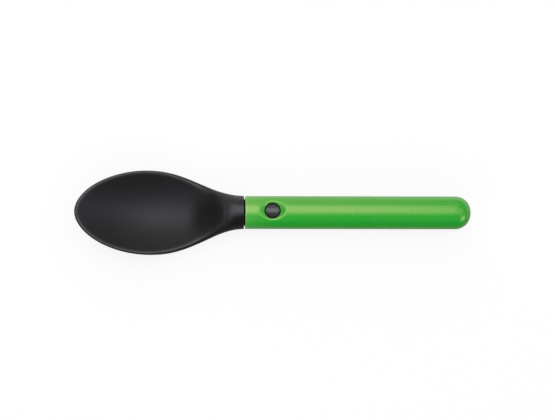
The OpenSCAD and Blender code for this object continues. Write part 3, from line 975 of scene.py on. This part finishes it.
def hairpin(across=29, straight=8, turned=24):
    """The strip's middle line, leaf, half circle and foot, carried across the strip's width."""
    a = np.linspace(0, np.pi, turned)[1:-1]
    r, mid = (LEAF_Z - FOOT_Z) / 2, (LEAF_Z + FOOT_Z) / 2
    leaf_x = np.linspace(BUTTON_X - LEAF_END, BEND_X, straight)
    foot_x = np.linspace(BEND_X, BEND_X + FOOT_LEN, straight)
    x = np.concatenate([leaf_x, BEND_X - r * np.sin(a), foot_x])[:, None]
    z = np.concatenate([np.full(straight, LEAF_Z), mid + r * np.cos(a),
                        np.full(straight, FOOT_Z)])[:, None]
    y = np.linspace(-STRIP_HALF, STRIP_HALF, across)[None, :]
    return np.stack(np.broadcast_arrays(x, y, z), -1)


print("hairpin", round(LEAF_Z - FOOT_Z + STRIP_T, 2), "mm high without its cup")

# %% [markdown]
# Solidify gives the sheet its 0.4 mm. A bone or a shape key could bend the spring, but none is
# added here: the spring is drawn at rest, and it only has to flatten when the button goes down,
# by the button's own travel.

spring = make_piece("latch_spring_skin", [(cup_fan(), True), (hairpin(), False)], "handle",
                    "latch_spring", STEEL, closed=False)
wall = spring.modifiers.new("strip_thickness", "SOLIDIFY")
wall.thickness, wall.offset, wall.use_even_offset = STRIP_T * MM, 0.0, True
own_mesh(spring)

# %% [markdown]
# ## Floor
# The spoon lies on a pale floor that is almost white in the picture and keeps a soft shadow.
# More light would whiten it, but would bleach the spoon too. So the floor's material asks what
# kind of ray meets it. To the camera it is mostly plain white, and in reflections it is white
# behind the spoon and dark in front of it, which gives the round handle its darker lower side.

# %% Floor
WHITE_TO_CAMERA, WHITE_IN_REFLECTIONS = 0.85, 0.98
FLOOR_SEEN, FLOOR_GREY = 0.85, 0.09
FRONT_EDGE, BACK_EDGE, FLOOR_REACH = -0.035, 0.03, 3.0


def white_share(tree, path):
    """How much of the floor is plain white: most to the camera, and in gloss and glass a share
    that grows from the front edge to the back edge."""
    place = add_node(tree, "ShaderNodeTexCoord", -1100, 0)
    parts = add_node(tree, "ShaderNodeSeparateXYZ", -900, 0)
    behind = add_node(tree, "ShaderNodeMapRange", -700, 0)
    behind.inputs["From Min"].default_value = FRONT_EDGE
    behind.inputs["From Max"].default_value = BACK_EDGE
    behind.inputs["To Max"].default_value = WHITE_IN_REFLECTIONS
    direct = add_node(tree, "ShaderNodeMath", -500, 420, operation="MULTIPLY")
    direct.inputs[1].default_value = WHITE_TO_CAMERA
    reflected = add_node(tree, "ShaderNodeMath", -500, 240, operation="MAXIMUM")
    total = add_node(tree, "ShaderNodeMath", -300, 300, operation="MULTIPLY_ADD")
    link = tree.links.new
    link(place.outputs["Object"], parts.inputs[0])
    link(parts.outputs["Y"], behind.inputs["Value"])
    link(path.outputs["Is Camera Ray"], direct.inputs[0])
    link(path.outputs["Is Glossy Ray"], reflected.inputs[0])
    link(path.outputs["Is Transmission Ray"], reflected.inputs[1])
    link(reflected.outputs[0], total.inputs[0])
    link(behind.outputs[0], total.inputs[1])
    link(direct.outputs[0], total.inputs[2])
    return total.outputs[0]


def pale_floor():
    """A diffuse sheet, pale to the camera and grey to other light, mixed with plain white."""
    material, tree, out = new_material("pale_floor")
    path = add_node(tree, "ShaderNodeLightPath", -700, 300)
    grey = add_node(tree, "ShaderNodeMix", -250, 100, data_type="RGBA")
    grey.inputs["A"].default_value = (FLOOR_GREY, FLOOR_GREY, FLOOR_GREY, 1)
    grey.inputs["B"].default_value = (FLOOR_SEEN, FLOOR_SEEN, FLOOR_SEEN, 1)
    matt = add_node(tree, "ShaderNodeBsdfDiffuse", 0, 100)
    white = add_node(tree, "ShaderNodeEmission", 0, -100, Strength=1.0)
    mix = add_node(tree, "ShaderNodeMixShader", 300, 0)
    link = tree.links.new
    link(path.outputs["Is Camera Ray"], grey.inputs["Factor"])
    link(grey.outputs["Result"], matt.inputs["Color"])
    link(white_share(tree, path), mix.inputs[0])
    link(matt.outputs[0], mix.inputs[1])
    link(white.outputs[0], mix.inputs[2])
    link(mix.outputs[0], out.inputs["Surface"])
    return material


corners = np.array([[-1, -1, 0], [1, -1, 0], [1, 1, 0], [-1, 1, 0]]) * FLOOR_REACH
floor_mesh = bpy.data.meshes.new("floor")
floor_mesh.from_pydata(corners.tolist(), [], [(0, 1, 2, 3)])
floor_mesh.materials.append(pale_floor())
floor = bpy.data.objects.new("floor", floor_mesh)
bpy.context.scene.collection.objects.link(floor)
print("floor", 2 * FLOOR_REACH, "m square")

# %% [markdown]
# ## Light
# Satin plastic shows the shapes of the lamps, so each lamp is a soft box of a chosen size. A
# large one overhead draws the wide highlight along the handle, and a dimmer one beside it, seen
# only in gloss, fades that highlight towards the front. Low cards behind, in front and at the
# sides brighten the bowl's walls. Fills light the colours and aren't seen in gloss. A small
# gridded strip near the handle's end makes the glint on the dome. The room itself is almost dark.

# %% Soft boxes
CENTRE = (0.0, 0.0, 0.0)


def soft_box(name, place, size, radiance, aim=CENTRE, colour=(1.0, 1.0, 1.0), seen="all",
             beam=180.0):
    """A rectangular area lamp facing its aim, kept to a beam of some degrees by a grid; its
    power is radiance times pi times its area, less what the grid takes away."""
    lamp = bpy.data.lights.new(name, "AREA")
    lamp.shape = "RECTANGLE"
    lamp.size, lamp.size_y = size
    lamp.spread = math.radians(beam)
    passed = 1 - lamp.spread / 2 / math.tan(lamp.spread / 2)
    lamp.energy = radiance * math.pi * size[0] * size[1] * passed
    lamp.color = colour
    holder = bpy.data.objects.new(name, lamp)
    holder.location = place
    holder.rotation_euler = (Vector(place) - Vector(aim)).to_track_quat("Z", "Y").to_euler()
    holder.visible_camera = False
    holder.visible_diffuse = seen != "glossy"
    holder.visible_glossy = seen != "diffuse"
    bpy.context.scene.collection.objects.link(holder)
    print(name, "gives", round(lamp.energy, 4), "W")


soft_box("overhead_box", place=(-0.115, 0.18, 0.55), aim=(-0.115, 0.18, 0.0), size=(0.53, 0.54),
         radiance=2.3)
soft_box("overhead_edge", place=(-0.115, -0.18, 0.55), aim=(-0.115, -0.18, 0.0),
         size=(0.53, 0.18), radiance=0.95, seen="glossy")
soft_box("back_card", place=(-0.295, 0.7, 0.335), aim=(-0.295, 0.0, 0.02), size=(0.91, 0.7),
         radiance=0.8, colour=(1.0, 0.98, 0.84))
soft_box("back_fill", place=(0.0, 0.7, 0.3), size=(1.2, 0.5), radiance=1.45, seen="diffuse")
soft_box("front_card", place=(-0.42, -0.45, 0.6), size=(0.6, 0.5), radiance=0.5)
soft_box("front_fill", place=(0.0, -0.6, 0.4), size=(1.2, 0.5), radiance=2.0, seen="diffuse")
soft_box("right_card", place=(0.42, 0.0, 0.6), size=(0.6, 0.5), radiance=0.8)
soft_box("corner_card", place=(0.43, 0.62, 0.5), size=(0.35, 0.35), radiance=0.45)
soft_box("low_card", place=(0.7, 0.1, 0.25), size=(0.9, 0.4), radiance=0.2)
soft_box("left_card", place=(-0.55, -0.2, 0.45), size=(0.5, 0.7), radiance=0.3)
soft_box("right_fill", place=(0.6, 0.0, 0.35), size=(0.6, 0.6), radiance=0.8, seen="diffuse")
soft_box("side_strip", place=(0.1535, -0.0593, 0.0367), aim=(0.0773, 0.0, 0.0095),
         size=(0.12, 0.06), radiance=3.8, seen="glossy", beam=44.0)

# %% [markdown]
# The room is a plain white world at a low level, so that no side of the spoon is quite black.
# The Standard view shows colours as they are written, without a film curve.

# %% Room
ROOM_LEVEL = 0.02
world = bpy.data.worlds.new("room")
bpy.context.scene.world = world
world.use_nodes = True
room = world.node_tree
room.nodes.clear()
dim = add_node(room, "ShaderNodeBackground", 0, 0, Color=(1, 1, 1, 1), Strength=ROOM_LEVEL)
room.links.new(dim.outputs[0], add_node(room, "ShaderNodeOutputWorld", 300, 0).inputs["Surface"])
bpy.context.scene.view_settings.view_transform = "Standard"
print("room at", ROOM_LEVEL)
